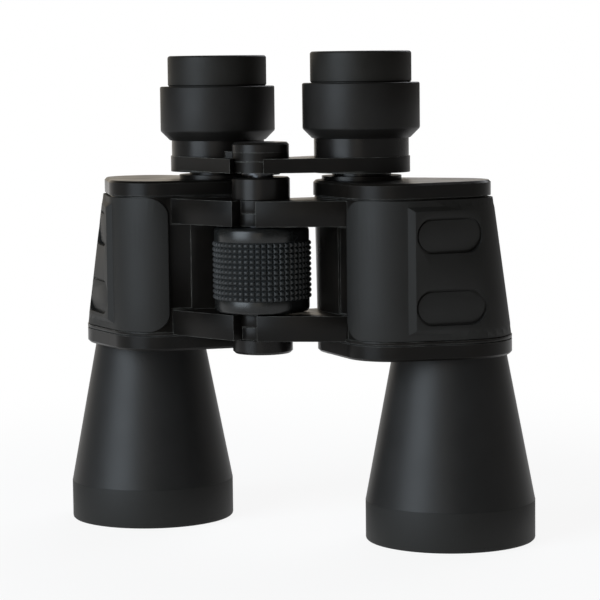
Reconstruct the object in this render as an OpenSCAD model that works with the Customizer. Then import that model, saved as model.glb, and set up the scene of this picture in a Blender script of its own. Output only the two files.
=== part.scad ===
// Porro-prism binocular, 50 mm class, with a centre focus wheel between its hinge arms.
// It stands on its two objective rims. +Z points to the eyepieces, +X to the right half
// (the one with the dioptre ring), and -Y is the side of the finger recesses.
// The left half carries the hinge tube. Everything is in millimetres.

/* [Layout] */
// Distance between the eyepiece axes with the hinge closed
eye_spacing = 56; // [55:0.5:60]
// Eyepiece axes behind the hinge axis
eye_setback = 22.5; // [22:0.5:25]
// Distance between the objective axes with the hinge closed
objective_spacing = 118; // [116:1:124]
// Objective axes behind the hinge axis
objective_setback = 26.3; // [24:0.1:29]

/* [Objective barrels] */
// Length from the rim to the underside of the prism housing
barrel_length = 65; // [60:1:80]
// Distance from the clear aperture to the outside of the rim
rim_wall = 4.5; // [4:0.1:6]
// Height of the rubber band
hood_h = 13.9; // [10:0.1:18]
// Thickness of the rubber band
hood_t = 1.5; // [1:0.1:2]
// Outer diameter of the barrel where it meets the housing
barrel_top_d = 39.4; // [36:0.2:41]
// Wall of the barrel
barrel_wall = 1.8; // [1.5:0.1:2.5]
// Clear aperture of the objective
aperture_d = 50; // [42:0.5:56]
// Depth of the objective glass behind the rim
glass_depth = 8; // [5:0.5:10]
// Edge thickness of the front (crown) element
crown_edge = 4; // [3:0.5:6]
// Edge thickness of the rear (flint) element
flint_edge = 5; // [3:0.5:6]
// Radius of curvature of the objective's outer faces
objective_curve = 130; // [100:5:200]
// Height of the ring that holds the doublet
retainer_h = 2.5; // [2:0.5:4]

/* [Prism housing] */
// Distance from a prism's side to the outside of the wall round the eyepiece axis, at the
// bottom and at the top
eye_margin = [5.8, 6.5];
// The same round the elbow of the light path
elbow_margin = [6.5, 6.5];
// The same round the objective axis, at the top; at the bottom the wall follows the barrel
objective_margin = 3.7; // [3:0.1:6]
// How far the outer lobe's middle lies in front of the objective axis
outer_shift = 1.4; // [0:0.1:2]
// Thickness of the flange that the wall stands on
flange_t = 1; // [0.5:0.1:2]
// Wall thickness above the prism shelf
wall_upper = 1.6; // [1.2:0.1:2]
// Wall thickness below the prism shelf, which makes the ledge it rests on
wall_lower = 2.4; // [2.2:0.1:2.6]
// Thickness of each cover plate
plate_t = 5.2; // [3:0.1:7]
// Thickness of each gasket
seal_t = 0.4; // [0.2:0.1:1]
// Bevel round the outer face of each cover plate
plate_bevel = 0.8; // [0.3:0.1:1.5]
// How far the top plate stands out past the wall, at the three lobes
top_lip = [0.4, 0.9, 1.3];
// How far the bottom plate stands out past the wall, at the three lobes
bottom_lip = [0, 0.9, 2.4];

/* [Grip covers] */
// Thickness of the rubber cover
cover_t = 1; // [0.8:0.1:1.6]
// Gap between the cover and each end of the wall
cover_gap = 0.3; // [0.3:0.1:2]
// How much thicker the cover is at the outer lobe, at the bottom and at the top
cover_swell = [1.35, 0.85];
// Radius of the cover's free corners
cover_corner = 6.5; // [3:0.5:10]
// Height of the raised plateau above the cover
plateau_t = 1.5; // [0.8:0.1:2]
// The same at the outer lobe, where the plateau runs out into the cover
plateau_end_t = 0.15; // [0.1:0.05:2]
// Distance of the plateau from the cover's upper and lower edges
plateau_margin = 2.1; // [1:0.1:5]
// Length of a finger recess
recess_l = 26; // [18:0.5:28]
// Height of a finger recess
recess_h = 12.2; // [8:0.2:14]
// Depth of a finger recess
recess_depth = 0.6; // [0.3:0.1:1]
// Width of the groove round a finger recess
groove_w = 0.9; // [0.6:0.1:1.5]
// Depth of that groove
groove_depth = 1.2; // [0.8:0.1:1.8]
// Heights of the finger recesses above the bottom edge of the wall
recess_z = [12.3, 36.4];
// How far along the outer face each recess lies, as a share of the face
recess_share = [0.65, 0.53];

/* [Prisms] */
// Width of a prism, which is also the height of its roof
prism_w = 20; // [16:0.5:22]
// Room between each prism's clip and the end of the wall
prism_room = 2.5; // [1:0.1:5]
// Thickness of the shelf between the prisms
shelf_t = 2; // [1.5:0.1:3]
// Radius of the light openings in the shelf
shelf_hole_r = 8.8; // [6:0.1:9.2]
// Width of a prism clip
clip_w = 8; // [5:0.5:10]
// Thickness of the clip's spring strip
clip_t = 0.8; // [0.5:0.1:1]

/* [Hinge] */
// Radius of the knuckles
knuckle_r = 10; // [9:0.1:11]
// Height of each hinge arm
arm_h = 8.7; // [7:0.1:10]
// Distance of the lower arms above the lower edge of the wall
lower_arm_rise = 0.2; // [0.1:0.1:4]
// Distance of the upper arms' top below the upper edge of the wall
upper_arm_drop = 0.6; // [0.1:0.1:4]
// How far the arms' front corners stand from the hinge axis
arm_reach = 14.4; // [13:0.1:16]
// Angle between the front centre line and an arm's end face, which is the opening stop
stop_angle = 18.2; // [15:0.1:22]
// Angle between the rear centre line and an arm's rear end face
rear_angle = 25; // [20:1:35]
// Radial gap between a knuckle and the other half's arm
knuckle_gap = 0.3; // [0.2:0.05:0.5]
// Axial gap between the two knuckles of a pair
lap_gap = 0.2; // [0.1:0.05:0.4]
// Wall of the hinge tube
tube_wall = 2.15; // [1.5:0.05:2.6]
// Running clearance of whatever turns or slides on a shaft
running_gap = 0.05; // [0.02:0.01:0.1]
// How far the end cap stands out past the knuckles
end_cap_lip = 0.4; // [0:0.1:1]
// Height of the end cap
end_cap_h = 5.2; // [4:0.1:6]

/* [Focus wheel] */
// Gap between the knurl and the prism housings
wheel_room = 2.32; // [1.5:0.01:5]
// How far the knurl stands out past the smooth end bands
knurl_rise = 1.1; // [0.5:0.1:1.5]
// Height of the lower smooth band
lower_band_h = 4.5; // [3:0.1:6]
// Height of the upper smooth band
upper_band_h = 4.9; // [3:0.1:6]
// Edge rounding of the bands
band_round = 1.5; // [0.5:0.1:2]
// Axial gap between the wheel and the arms
wheel_gap = 0.5; // [0.3:0.1:1]
// Pyramids round the knurl
knurl_columns = 50; // [30:1:60]
// Rows of pyramids
knurl_rows = 11; // [6:1:14]
// Thickness of the rubber sleeve under the valleys of the knurl
sleeve_t = 1; // [0.8:0.1:2]
// Depth of the knurl
knurl_depth = 1; // [0.5:0.1:1.2]

/* [Bridge] */
// Radius of the focus post
post_r = 4.4; // [4:0.1:5]
// Distance from the top plate to the underside of the bridge arms
bridge_rise = 3.2; // [2.8:0.1:5]
// Radius of the bridge's knuckles and cap
bridge_knuckle_r = 9.8; // [9:0.1:10.5]
// Height of the right arm's knuckle, under the left arm's
bridge_split = 3.9; // [3:0.1:6]
// How far the bridge arms reach above the split between their knuckles
bridge_lap = 1; // [0.6:0.1:2]
// Height of the left arm's knuckle
left_knuckle_h = 3.1; // [2.5:0.1:4]
// Height of the cap above the knuckles
bridge_cap_h = 3.4; // [2.5:0.1:5]
// Focus travel past infinity
travel_down = 0.6; // [0.2:0.1:0.8]
// Focus travel towards the near limit
travel_up = 7; // [4:0.5:9]

/* [Eyepieces] */
// Outer radius of the lens barrel, which the other diameters follow outwards
lens_barrel_r = 15.6; // [14:0.1:16.5]
// Height of the sleeve above the bridge ring
sleeve_h = 7.7; // [6:0.1:9]
// Radius of the drawtube inside the guide
draw_r = 10.3; // [9:0.1:11]
// Wall of the grip ring round the eyecup
ring_wall = 2.63; // [1.5:0.01:4]
// How far the grip ring reaches down over the sleeve
ring_cover = 2.2; // [1:0.1:3]
// Height of the grip ring's lower chamfer
ring_chamfer = 3.3; // [1:0.1:4]
// Height of the eyecup above the grip ring
cup_h = 10.8; // [9:0.1:14]
// Wall of the eyecup
cup_wall = 1.7; // [1.4:0.1:2.2]
// How far the eyecup pushes down
cup_travel = 7; // [4:0.5:8]
// Radius of the eye lens
eye_lens_r = 11.5; // [9:0.5:13]
// Height of the right eyepiece above the left one, as its dioptre ring is set
dioptre_set = 0.9; // [0:0.1:1.6]

/* [Strap lugs] */
// Strap width that a lug takes
strap_w = 10; // [8:0.5:12]
// Gap between a lug's bar and the housing
strap_gap = 5; // [4.5:0.1:6]
// Thickness of a lug's wire
lug_t = 2.4; // [2:0.1:3]

/* [Hidden] */
$fn = 96;
RIGHT = 1;
LEFT = -1;
metal = "#1d1d1f";
soft_black = "#242629";
rubber = "#202124";
glass = "#a9c4cf";
coated = "#5b4a86";
steel = "#8d9095";
eps = 0.01;
fine = 300;

// --- heights -------------------------------------------------------------------------------
bottom_plate_z = barrel_length;
wall_z0 = bottom_plate_z + plate_t + seal_t;
shelf_z = wall_z0 + prism_room + clip_t + prism_w;
wall_z1 = shelf_z + shelf_t + prism_w + clip_t + prism_room;
top_plate_z = wall_z1 + seal_t;
housing_top = top_plate_z + plate_t;
lower_arm_z = wall_z0 + lower_arm_rise;
upper_arm_z = wall_z1 - upper_arm_drop - arm_h;
wheel_z0 = lower_arm_z + arm_h + wheel_gap;
wheel_z1 = upper_arm_z - wheel_gap;
bridge_z = housing_top + bridge_rise;
bridge_ring_z = bridge_z - 0.6;
bridge_h = bridge_split + bridge_lap;
bridge_top = bridge_z + bridge_h;
knuckle_top = bridge_z + bridge_split + left_knuckle_h;
post_flange_h = 0.8;
tube_top = bridge_z - post_flange_h - travel_down - 0.2;
sleeve_top = bridge_top + sleeve_h;
ring_z = sleeve_top - ring_cover;
// The web inside the grip ring stands on the lens barrel's flange, and the eyecup stops above it.
web_z = sleeve_top + 3.7;
web_h = 1.8;
cup_skirt = 3.8;
ring_top = web_z + web_h + cup_travel + cup_skirt + 0.6;
cup_top = ring_top + cup_h;

// --- plan of one half, seen from above, with the hinge at the origin --------------------------
eye = [eye_spacing / 2, eye_setback];
objective = [objective_spacing / 2, objective_setback];
// The two prisms turn the light path by a right angle, so the elbow completes a right triangle.
elbow = (eye + objective) / 2 + [objective.y - eye.y, eye.x - objective.x] / 2;
outer = objective - [0, outer_shift];
lobes = [eye, elbow, outer];
wall_low = [prism_w / 2 + eye_margin[0], prism_w / 2 + elbow_margin[0], barrel_top_d / 2];
wall_high = [prism_w / 2 + eye_margin[1], prism_w / 2 + elbow_margin[1],
    prism_w / 2 + objective_margin];
hood_r = aperture_d / 2 + rim_wall;
knurl_r = norm(eye) - max(wall_low[0], wall_high[0]) - wheel_room;
band_r = knurl_r - knurl_rise;
tube_r = post_r + running_gap + tube_wall;
end_cap_r = knuckle_r + end_cap_lip;
// The row's origin lies under the middle of the bounding box.
frame_shift = -(objective_setback + hood_r - knurl_r) / 2;

function polar(r, a) = [r * cos(a), r * sin(a)];
function heading(a, b) = atan2(b.y - a.y, b.x - a.x);
function rounding(list, amount) = [for (v = list) v + amount];
// Radii of the housing wall at a height, along its straight taper
function wall_at(z) = wall_low + (wall_high - wall_low) * (z - wall_z0) / (wall_z1 - wall_z0);
// Unit normal of the line that touches two circles on the right-hand side of a to b
function outer_normal(a, b, ra, rb) =
    let (l = norm(b - a), u = (b - a) / l, s = (ra - rb) / l)
    [u.y, -u.x] * sqrt(1 - s * s) + u * s;
// Where that line touches the two circles
function tangent_points(a, b, ra, rb) =
    let (n = outer_normal(a, b, ra, rb))
    [a + ra * n, b + rb * n];

// The flank between the eye lobe and the elbow lobe ends where the grip cover begins.
flank = tangent_points(eye, elbow, wall_low[0] + cover_t, wall_low[1] + cover_t);
flank_angle = heading(flank[0], flank[1]);
cover_edge_x = flank[1].x;

// --- building blocks -----------------------------------------------------------------------
module in_frame() translate([0, frame_shift, 0]) children();
module on_side(side) in_frame() mirror([side < 0 ? 1 : 0, 0, 0]) children();
module at(p, z = 0) translate([p.x, p.y, z]) children();

module ring(r_out, r_in, h) difference() {
    cylinder(r = r_out, h = h);
    translate([0, 0, -1]) cylinder(r = r_in, h = h + 2);
}

// Points of the outline round the three lobes and their common tangents, counter-clockwise:
// each lobe's arc, then the edge after it
function outline_points(radii, arc_steps, edge_steps = 1) = [for (i = [0:2])
    let (h = (i + 2) % 3, j = (i + 1) % 3,
        n0 = outer_normal(lobes[h], lobes[i], radii[h], radii[i]),
        n1 = outer_normal(lobes[i], lobes[j], radii[i], radii[j]),
        a0 = atan2(n0.y, n0.x), turn = (atan2(n1.y, n1.x) - a0 + 360) % 360,
        p = lobes[i] + radii[i] * n1, q = lobes[j] + radii[j] * n1)
    each concat([for (k = [0:arc_steps]) lobes[i] + polar(radii[i], a0 + turn * k / arc_steps)],
        [for (k = [1:1:edge_steps - 1]) p + (q - p) * k / edge_steps])];

module lobe_plate(radii, z, h)
    translate([0, 0, z]) linear_extrude(h) polygon(outline_points(radii, 24));

// The outline with its lobe radii changing evenly from one height to another. Its faces
// between the lobes may twist, so it is laid up in layers.
module lobe_block(low, high, z0, z1, layers, arc_steps = 14, edge_steps = 4) {
    rings = [for (l = [0:layers])
        [for (p = outline_points(low + (high - low) * l / layers, arc_steps, edge_steps))
            [p.x, p.y, z0 + (z1 - z0) * l / layers]]];
    n = len(rings[0]);
    sides = [for (l = [0:layers - 1], i = [0:n - 1])
        let (a = l * n + i, b = l * n + (i + 1) % n)
        each [[a, a + n, b], [b, a + n, b + n]]];
    c = (layers + 1) * n;
    middle = (lobes[0] + lobes[1] + lobes[2]) / 3;
    ends = [for (i = [0:n - 1]) let (k = (i + 1) % n)
        each [[i, k, c], [layers * n + k, layers * n + i, c + 1]]];
    polyhedron([for (r = rings) each r, [middle.x, middle.y, z0], [middle.x, middle.y, z1]],
        concat(sides, ends));
}

// A block that follows the wall at a set distance outside it
module wall_block(distance, z0, z1, layers = 4) lobe_block(
    rounding(wall_at(z0), distance), rounding(wall_at(z1), distance), z0, z1, layers);

// The plate-like lip round the wall's foot, flush with the bottom plate
module flange() lobe_plate(wall_low + bottom_lip, wall_z0, flange_t);

// --- prism housing ---------------------------------------------------------------------------
arm_front = flank[1] - 1.5 * polar(1, flank_angle);
arm_points = [
    polar(knuckle_r - 2, stop_angle - 90),
    polar(arm_reach, stop_angle - 90),
    arm_front,
    elbow,
    eye,
    eye + polar(wall_low[0], 190),
    polar(knuckle_r + 2, 90 - rear_angle),
    polar(knuckle_r - 2, 90 - rear_angle)];

// One hinge arm: a bar that clears the other half's knuckle, and its own knuckle in one layer
module hinge_arm(z, knuckle_low) {
    own_z = knuckle_low ? z : z + (arm_h + lap_gap) / 2;
    translate([0, 0, z]) linear_extrude(arm_h) difference() {
        polygon(arm_points);
        circle(knuckle_r + knuckle_gap);
    }
    translate([0, 0, own_z]) linear_extrude((arm_h - lap_gap) / 2) {
        circle(knuckle_r);
        polygon(arm_points);
    }
}

module at_each(points, z) for (p = points) at(p, z) children();

// Plate screws stand just inside the wall, each at its share of the way along one side.
function screw_points(radii, share) = [for (i = [0:2])
    let (j = (i + 1) % 3, t = tangent_points(lobes[i], lobes[j], radii[i], radii[j]))
    t[0] + (t[1] - t[0]) * share[i]];
screw_r = 1;
boss_r = 2.2;
boss_h = 9;
thread_l = 6;
top_screws = screw_points(rounding(wall_high, -boss_r - 0.2), [0.5, 0.85, 0.5]);
bottom_screws = screw_points(rounding(wall_low, -boss_r - 0.2), [0.15, 0.15, 0.85]);

module housing(side) color(metal) on_side(side) difference() {
    union() {
        wall_block(0, wall_z0, wall_z1);
        flange();
        hinge_arm(lower_arm_z, side == LEFT);
        hinge_arm(upper_arm_z, side == RIGHT);
    }
    // prism chambers, with the ledge for the shelf between them
    difference() {
        union() {
            wall_block(-wall_lower, wall_z0 - 1, shelf_z + eps);
            wall_block(-wall_upper, shelf_z, wall_z1 + 1);
        }
        at_each(top_screws, wall_z1 - boss_h) cylinder(r = boss_r, h = boss_h);
        at_each(bottom_screws, wall_z0) cylinder(r = boss_r, h = boss_h);
    }
    at_each(top_screws, wall_z1 - thread_l) cylinder(r = screw_r, h = boss_h);
    at_each(bottom_screws, wall_z0 - 2) cylinder(r = screw_r, h = thread_l + 2);
    // hinge bore: a press seat in the left half, a running fit in the right
    translate([0, 0, lower_arm_z - 1])
        cylinder(r = side == LEFT ? tube_r : tube_r + running_gap, h = upper_arm_z + arm_h);
    // shallow sunk panel between the arms, next to the cover
    at(flank[1], wheel_z0) rotate(flank_angle) translate([-flank_panel, -2, 0])
        cube([flank_panel, 2 + cover_t + flank_depth, wheel_z1 - wheel_z0]);
}
flank_panel = 8.3;
flank_depth = 0.6;

module seals(side) color(rubber) on_side(side) {
    difference() {
        lobe_plate(rounding(wall_low + bottom_lip, -0.4), wall_z0 - seal_t, seal_t);
        lobe_plate(rounding(wall_low, -wall_lower), wall_z0 - seal_t - 1, seal_t + 2);
        at_each(bottom_screws, wall_z0 - seal_t - 1) cylinder(r = screw_r + 0.2, h = seal_t + 2);
    }
    difference() {
        lobe_plate(rounding(wall_high, -0.3), wall_z1, seal_t);
        lobe_plate(rounding(wall_high, -wall_upper), wall_z1 - 1, seal_t + 2);
        at_each(top_screws, wall_z1 - 1) cylinder(r = screw_r + 0.2, h = seal_t + 2);
    }
}

spigot_r = barrel_top_d / 2 - 1.7;
guide_r = draw_r + 1.1;

// A cover plate from z upwards, with a bevel round the face that looks up
module cover_plate(radii, z) {
    lobe_plate(radii, z, plate_t - plate_bevel);
    lobe_block(radii, rounding(radii, -plate_bevel), z + plate_t - plate_bevel, z + plate_t,
        1, 24, 1);
}

module bottom_plate(side) color(metal) on_side(side) difference() {
    translate([0, 0, 2 * bottom_plate_z + plate_t]) mirror([0, 0, 1])
        cover_plate(wall_low + bottom_lip, bottom_plate_z);
    at(objective, bottom_plate_z - 1) cylinder(r = spigot_r, h = plate_t + 2);
    at_each(bottom_screws, bottom_plate_z) plate_screw_seat();
}

module top_plate(side) color(metal) on_side(side) difference() {
    cover_plate(wall_high + top_lip, top_plate_z);
    at(eye, top_plate_z - 1) cylinder(r = guide_r, h = plate_t + 2);
    lug_wire();
    at_each(top_screws, housing_top) mirror([0, 0, 1]) plate_screw_seat();
}

// Clearance hole and head seat of a plate screw, from the outer face inwards
head_r = 1.9;
head_h = 1.2;
module plate_screw_seat() {
    translate([0, 0, -1]) cylinder(r = head_r, h = 1 + head_h);
    cylinder(r = screw_r, h = plate_t + 2);
}
module plate_screw() {
    cylinder(r = head_r, h = head_h);
    cylinder(r = screw_r, h = plate_t + seal_t + thread_l);
}
module plate_screws(side) color(steel) on_side(side) {
    at_each(bottom_screws, bottom_plate_z) plate_screw();
    at_each(top_screws, housing_top) mirror([0, 0, 1]) plate_screw();
}

// --- grip cover ------------------------------------------------------------------------------
cover_z0 = wall_z0 + flange_t + cover_gap;
cover_z1 = wall_z1 - cover_gap;
// Radii of the cover at a height, and of the plateau on it
function cover_at(z) =
    let (share = (z - wall_z0) / (wall_z1 - wall_z0))
    wall_at(z) + [cover_t, cover_t, cover_t + cover_swell[0] * (1 - share) + cover_swell[1] * share];
function plateau_at(z) = cover_at(z) + [plateau_t, plateau_t, plateau_end_t];
plateau_z0 = cover_z0 + plateau_margin;
plateau_z1 = cover_z1 - plateau_margin;
far = 120;

// The cover seen from the front: open towards the hinge, with rounded free corners
module cover_window() rotate([90, 0, 0]) linear_extrude(2 * far, center = true) {
    translate([cover_edge_x, cover_z0 + cover_corner])
        square([far, cover_z1 - cover_z0 - 2 * cover_corner]);
    translate([cover_edge_x + cover_corner, cover_z0])
        square([far, cover_z1 - cover_z0]);
    for (z = [cover_z0 + cover_corner, cover_z1 - cover_corner])
        translate([cover_edge_x + cover_corner, z]) circle(cover_corner);
}

// The raised plateau starts at a bevel where the elbow lobe meets the outer face, and ends
// at a like bevel on the rear side of the objective lobe.
bevel_angle = -50;
bevel_start = elbow + polar(wall_low[1] + cover_t, bevel_angle);
bevel_turn = 10;
module plateau_region() intersection() {
    at(bevel_start) rotate(bevel_turn) translate([-far, 0, -1]) cube([2 * far, far, 2 * far]);
    at([cover_edge_x + 16, -far], -1) cube([far, 2 * far, 2 * far]);
}

module plateau() intersection() {
    union() {
        lobe_block(plateau_at(plateau_z0 + plateau_t), plateau_at(plateau_z1 - plateau_t),
            plateau_z0 + plateau_t, plateau_z1 - plateau_t, 4);
        lobe_block(cover_at(plateau_z0), plateau_at(plateau_z0 + plateau_t),
            plateau_z0, plateau_z0 + plateau_t, 1);
        lobe_block(plateau_at(plateau_z1 - plateau_t), cover_at(plateau_z1),
            plateau_z1 - plateau_t, plateau_z1, 1);
    }
    plateau_region();
}

module stadium(l, h) {
    square([l - h, h], center = true);
    for (s = [-1, 1]) translate([s * (l - h) / 2, 0]) circle(h / 2);
}

// A finger recess is a stadium that lies level on the outer face, with a groove round it.
module finger_recess(z, share) {
    radii = plateau_at(z);
    surface = tangent_points(elbow, outer, radii[1], radii[2]);
    middle = surface[0] + (surface[1] - surface[0]) * share;
    at(middle, z) rotate(heading(surface[0], surface[1])) rotate([90, 0, 0]) {
        translate([0, 0, -recess_depth]) linear_extrude(8) stadium(recess_l, recess_h);
        translate([0, 0, -groove_depth]) linear_extrude(8) difference() {
            stadium(recess_l, recess_h);
            stadium(recess_l - 2 * groove_w, recess_h - 2 * groove_w);
        }
    }
}

module grip_cover(side) color(rubber) on_side(side) difference() {
    intersection() {
        union() {
            lobe_block(cover_at(cover_z0), cover_at(cover_z1), cover_z0, cover_z1, 4);
            plateau();
        }
        cover_window();
    }
    wall_block(0, wall_z0, wall_z1);
    for (i = [0:1]) finger_recess(wall_z0 + recess_z[i], recess_share[i]);
}

// --- objective -------------------------------------------------------------------------------
rim_gap = 0.6;
hood_bore_r = hood_r - hood_t;
cell_r = aperture_d / 2 + 1;
lens_z = glass_depth;
lens_seat_z = lens_z + crown_edge + flint_edge;

module hood_band(side) color(rubber) on_side(side) at(objective) rotate_extrude()
    polygon([[hood_bore_r, 0], [hood_r - 0.8, 0], [hood_r, 0.8],
        [hood_r, hood_h - 0.3], [hood_r - 0.3, hood_h], [hood_bore_r, hood_h]]);

module objective_barrel(side) color(soft_black) on_side(side) at(objective) rotate_extrude()
    polygon([
        [cell_r, rim_gap], [hood_bore_r, rim_gap], [hood_bore_r, hood_h],
        [hood_r - 0.15, hood_h], [barrel_top_d / 2, bottom_plate_z],
        [spigot_r, bottom_plate_z], [spigot_r, bottom_plate_z + plate_t],
        [spigot_r - barrel_wall, bottom_plate_z + plate_t],
        [spigot_r - barrel_wall, bottom_plate_z - 4],
        [aperture_d / 2, lens_seat_z + 3], [aperture_d / 2, lens_seat_z],
        [cell_r, lens_seat_z]]);

// The outer face of a lens whose edge lies at height z
module lens_face(z) translate([0, 0, z + sqrt(pow(objective_curve, 2) - pow(cell_r, 2))])
    sphere(objective_curve, $fn = fine);

// The ring bears on the glass with a face turned to the same curve.
module retaining_ring(side) color(metal) on_side(side) at(objective) difference() {
    translate([0, 0, lens_z - retainer_h]) ring(cell_r, aperture_d / 2, retainer_h);
    lens_face(lens_z);
}

module crown_lens(side) color(glass) on_side(side) at(objective) intersection() {
    translate([0, 0, lens_z - 6]) cylinder(r = cell_r, h = 6 + crown_edge);
    lens_face(lens_z);
}

module flint_lens(side) color(glass) on_side(side) at(objective) difference() {
    translate([0, 0, lens_z + crown_edge]) cylinder(r = cell_r, h = flint_edge);
    lens_face(lens_z + crown_edge + flint_edge);
}

// --- prisms ----------------------------------------------------------------------------------
// A porro prism over one leg of the light path: a right-angled roof on a long flat face,
// with its corners ground round and its sharp edges blunted
prism_end_r = wall_high[2] - wall_upper - outer_shift - 0.1;
prism_blunt = 0.5;
module porro_prism(a, b) intersection() {
    at((a + b) / 2) rotate(heading(a, b)) rotate([90, 0, 0])
        linear_extrude(prism_w, center = true)
        polygon([for (s = [-1, 1]) each [[s * (prism_w - prism_blunt), s < 0 ? prism_blunt : 0],
            [s * (prism_w - prism_blunt), s < 0 ? 0 : prism_blunt]],
            [prism_blunt, prism_w - prism_blunt], [-prism_blunt, prism_w - prism_blunt]]);
    translate([0, 0, -1]) linear_extrude(prism_w + 2) {
        for (p = [a, b]) at(p) circle(prism_end_r);
        at((a + b) / 2) rotate(heading(a, b)) square([norm(b - a), prism_w], center = true);
    }
}

module upper_prism(side) color(glass) on_side(side)
    translate([0, 0, shelf_z + shelf_t]) porro_prism(elbow, objective);

module lower_prism(side) color(glass) on_side(side)
    translate([0, 0, shelf_z]) mirror([0, 0, 1]) porro_prism(eye, elbow);

module prism_shelf(side) color(metal) on_side(side) difference() {
    lobe_plate(rounding(wall_at(shelf_z + shelf_t), -wall_upper - 0.1), shelf_z, shelf_t);
    for (p = [eye, elbow, objective]) at(p, shelf_z - 1) cylinder(r = shelf_hole_r, h = shelf_t + 2);
}

// A spring strap over the roof of a prism, with its feet on the shelf
clip_foot = 2.4;
module prism_clip(a, b) at((a + b) / 2) rotate(heading(a, b) + 90) rotate([90, 0, 0])
    linear_extrude(clip_w, center = true) {
        half = prism_w / 2;
        difference() {
            translate([-half - clip_t, 0]) square([2 * (half + clip_t), prism_w + clip_t]);
            translate([-half, -1]) square([2 * half, prism_w + 1]);
        }
        for (s = [-1, 1]) translate([s > 0 ? half : -half - clip_foot, 0])
            square([clip_foot, clip_t]);
    }

module prism_clips(side) color(steel) on_side(side) {
    translate([0, 0, shelf_z + shelf_t]) prism_clip(elbow, objective);
    translate([0, 0, shelf_z]) mirror([0, 0, 1]) prism_clip(eye, elbow);
}

// --- eyepieces -------------------------------------------------------------------------------
guide_bore_r = draw_r + running_gap;
guide_flange_r = draw_r + 3.6;
guide_flange_h = 1.4;
// The guide stands beside the upper prism and reaches down past this share of its height.
// Where a wider prism comes under the guide, it ends above the slope of the roof instead.
guide_share = 0.35;
guide_gap = 0.3;
guide_over = sqrt(max(0, pow(guide_r, 2) - pow(norm(eye - elbow) - prism_end_r, 2)));
guide_reach = min(guide_share * prism_w, norm(objective - elbow) / 2 - guide_over - guide_gap);
guide_bottom = shelf_z + shelf_t + prism_w - guide_reach;
sleeve_r = lens_barrel_r + 0.9;
bridge_ring_r = sleeve_r + 0.4;
neck_r = sleeve_r - 2.5;
cup_bore_r = lens_barrel_r + 0.27;
cup_r = cup_bore_r + cup_wall;
barrel_bore_r = lens_barrel_r - 3.2;
field_lens_r = barrel_bore_r - 1.6;
draw_bottom = guide_bottom + 3;
barrel_bottom = bridge_ring_z + 3;
barrel_top = ring_top + 1.4;

module guide_tube(side) color(metal) on_side(side) at(eye) rotate_extrude()
    polygon([[guide_bore_r, guide_bottom], [guide_r, guide_bottom],
        [guide_r, housing_top], [guide_flange_r, housing_top],
        [guide_flange_r, housing_top + guide_flange_h],
        [guide_bore_r, housing_top + guide_flange_h]]);

module ocular_sleeve(side) color(metal) on_side(side) at(eye) rotate_extrude()
    polygon([[draw_r - 1, draw_bottom], [draw_r, draw_bottom], [draw_r, bridge_ring_z],
        [neck_r, bridge_ring_z], [neck_r, bridge_top], [sleeve_r, bridge_top],
        [sleeve_r, sleeve_top], [barrel_bore_r + running_gap, sleeve_top],
        [barrel_bore_r + running_gap, barrel_bottom - 2.2], [draw_r - 1, barrel_bottom - 2.2]]);

// The inner barrel carries the glass. On the right half it rises with the dioptre ring.
module eye_lift(side) translate([0, 0, side == RIGHT ? dioptre_set : 0]) children();

module lens_barrel(side) color(metal) on_side(side) eye_lift(side) at(eye) rotate_extrude()
    polygon([[field_lens_r - 0.8, barrel_bottom], [barrel_bore_r, barrel_bottom],
        [barrel_bore_r, web_z - 1.8], [lens_barrel_r + 0.7, web_z - 1.8],
        [lens_barrel_r + 0.7, web_z - 0.1], [lens_barrel_r, web_z - 0.1],
        [lens_barrel_r, barrel_top],
        [eye_lens_r - 0.7, barrel_top], [eye_lens_r - 0.7, barrel_top - 0.8],
        [eye_lens_r, barrel_top - 0.8], [eye_lens_r, barrel_top - 6.8],
        [field_lens_r, barrel_top - 8.8], [field_lens_r, barrel_bottom + 1],
        [field_lens_r - 0.8, barrel_bottom + 1]]);

// A glass disc with an outward-curved face above and below its edge
module lens_disc(r, edge, curve) {
    shift = sqrt(curve * curve - r * r) - edge / 2;
    intersection() {
        cylinder(r = r, h = edge + 4, center = true);
        translate([0, 0, shift]) sphere(curve, $fn = fine);
        translate([0, 0, -shift]) sphere(curve, $fn = fine);
    }
}

module eye_lens(side) color(coated) on_side(side) eye_lift(side)
    at(eye, barrel_top - 3.8) lens_disc(eye_lens_r, 3, 42);

module field_lens(side) color(glass) on_side(side) eye_lift(side)
    at(eye, barrel_bottom + 2.8) lens_disc(field_lens_r, 3, 40);

// The grip ring turns on the barrel above its flange and reaches down over the sleeve.
pocket_r = cup_r + 0.2;
ring_r = pocket_r + ring_wall;
module eyepiece_ring(side) color(soft_black) on_side(side) eye_lift(side) at(eye)
    rotate_extrude() polygon([
        [sleeve_r + running_gap, ring_z], [sleeve_r + 0.6, ring_z],
        [ring_r, ring_z + ring_chamfer], [ring_r, ring_top - 0.6], [ring_r - 0.6, ring_top],
        [pocket_r, ring_top], [pocket_r, web_z + web_h], [lens_barrel_r + running_gap, web_z + web_h],
        [lens_barrel_r + running_gap, web_z], [sleeve_r + running_gap, web_z]]);

// Inside the ring the cup is a little thinner than above it, and its lip turns inwards.
skirt_r = cup_r - 0.3;
lip_r = cup_bore_r - 2.2;
module eyecup(side) color(rubber) on_side(side) eye_lift(side) at(eye) rotate_extrude()
    polygon([[cup_bore_r, ring_top - cup_skirt], [skirt_r, ring_top - cup_skirt],
        [skirt_r, ring_top + 0.2], [cup_r, ring_top + 0.5], [cup_r, cup_top - 1],
        [cup_r - 1, cup_top], [lip_r + 0.6, cup_top], [lip_r, cup_top - 0.6],
        [lip_r, cup_top - 1.4], [cup_bore_r, cup_top - 2]]);

// --- bridge ----------------------------------------------------------------------------------
bridge_front = polar(bridge_knuckle_r + 3, -60);
bridge_rear = polar(bridge_knuckle_r + 1, 60);

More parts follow.
